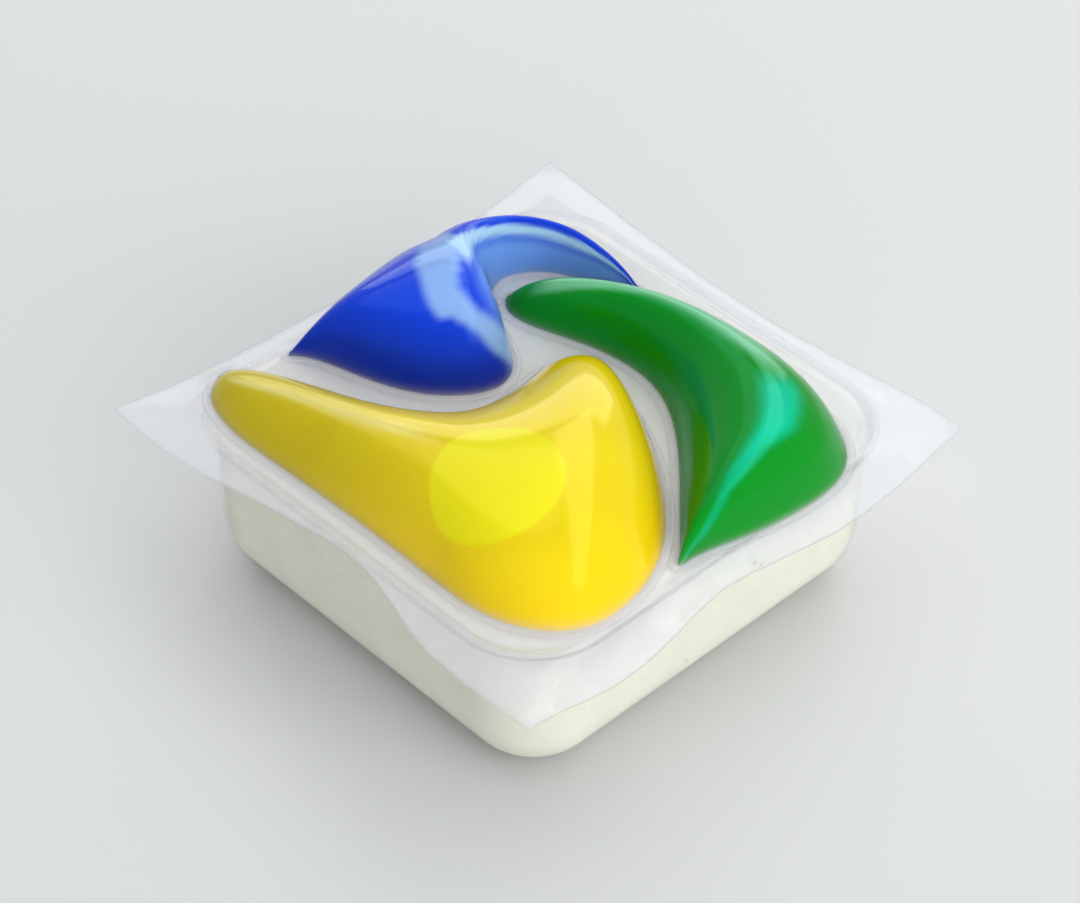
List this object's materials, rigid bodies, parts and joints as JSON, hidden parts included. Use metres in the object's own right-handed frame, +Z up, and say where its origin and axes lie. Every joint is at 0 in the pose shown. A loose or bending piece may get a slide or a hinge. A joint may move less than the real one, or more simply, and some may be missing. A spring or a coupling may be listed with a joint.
{
  "type": "dishwasher tablet",
  "caption": "Square dishwasher tablet: a powder pocket of water-soluble film with a sealed flange, topped by gel domes that swirl round each other.",
  "frame": {"origin": "centre of the tablet's footprint, on the flat bottom of the powder pocket", "axes": "+Z up through the gel domes; X and Y along the edges of the square film"},
  "size_m": [0.043, 0.043, 0.0205],
  "materials": {
    "tub_film": "clear, slightly hazy, glossy film",
    "powder_fill": "matte white powder",
    "middle_film": "clear, slightly hazy film",
    "top_film": "clear glossy film",
    "yellow_gel": "glossy coloured gel",
    "green_gel": "glossy coloured gel",
    "blue_gel": "glossy coloured gel"
  },
  "bodies": {
    "root": {"tub_film": "tub_film", "powder_fill": "powder_fill", "middle_film": "middle_film", "top_film": "top_film", "yellow_gel": "yellow_gel", "green_gel": "green_gel", "blue_gel": "blue_gel"}
  },
  "joints": []
}
